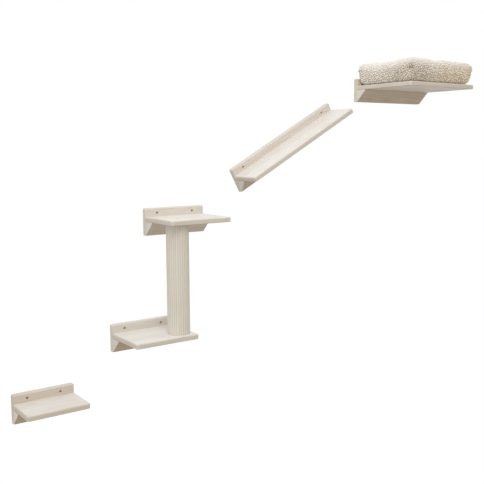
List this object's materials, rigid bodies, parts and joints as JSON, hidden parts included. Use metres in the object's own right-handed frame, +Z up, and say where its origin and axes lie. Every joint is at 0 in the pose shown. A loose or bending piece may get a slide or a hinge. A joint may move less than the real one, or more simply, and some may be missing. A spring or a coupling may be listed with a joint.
{
  "type": "wall mounted cat tree",
  "caption": "Cat climbing set for a wall: small step, shelves joined by a sisal scratching post, sloping ramp and a shelf with a lift-off plush bed.",
  "frame": {"origin": "midway between the step's two wall holes, on the wall plane", "axes": "+X right along the wall as seen from the room, +Y into the wall, +Z up"},
  "size_m": [2.163, 0.36, 1.4003],
  "materials": {
    "whitewashed_pine": "whitewashed, satin",
    "woven_sisal": "coarse weave with upright ribs",
    "grey_card": "wound cardboard",
    "plywood": "raw plywood",
    "zinc_steel": "zinc plated",
    "cream_plush": "curly plush",
    "base_cloth": "non-slip cloth",
    "hook_tape": "hook and loop tape"
  },
  "bodies": {
    "root": {"step_back_board": "whitewashed_pine", "step_tread": "whitewashed_pine", "step_wedge_block": "whitewashed_pine", "step_tongue": "plywood", "lower_shelf_back_board": "whitewashed_pine", "lower_shelf_tread": "whitewashed_pine", "lower_shelf_wedge_block": "whitewashed_pine", "lower_shelf_tongue": "plywood", "upper_shelf_back_board": "whitewashed_pine", "upper_shelf_tread": "whitewashed_pine", "upper_shelf_wedge_block": "whitewashed_pine", "upper_shelf_tongue": "plywood", "ramp_back_board": "whitewashed_pine", "ramp_tread": "whitewashed_pine", "ramp_wedge_block": "whitewashed_pine", "ramp_tongue": "plywood", "bed_shelf_back_board": "whitewashed_pine", "bed_shelf_tread": "whitewashed_pine", "bed_shelf_wedge_block": "whitewashed_pine", "bed_shelf_tongue": "plywood", "post_core_tube": "grey_card", "post_sisal_cover": "woven_sisal", "post_end_discs": "plywood", "post_inserts": "zinc_steel", "post_bolts": "zinc_steel", "bed_shelf_hook_strips": "hook_tape"},
    "bed": {"bed_front_bolster": "cream_plush", "bed_back_bolster": "cream_plush", "bed_left_bolster": "cream_plush", "bed_right_bolster": "cream_plush", "bed_floor_pad": "cream_plush", "bed_base_cloth": "base_cloth", "bed_loop_strips": "hook_tape"}
  },
  "joints": [
    {"name": "bed_lift", "type": "slide", "parent": "root", "child": "bed", "axis": [0, 0, 1], "range_m": [0, 0.12]}
  ]
}
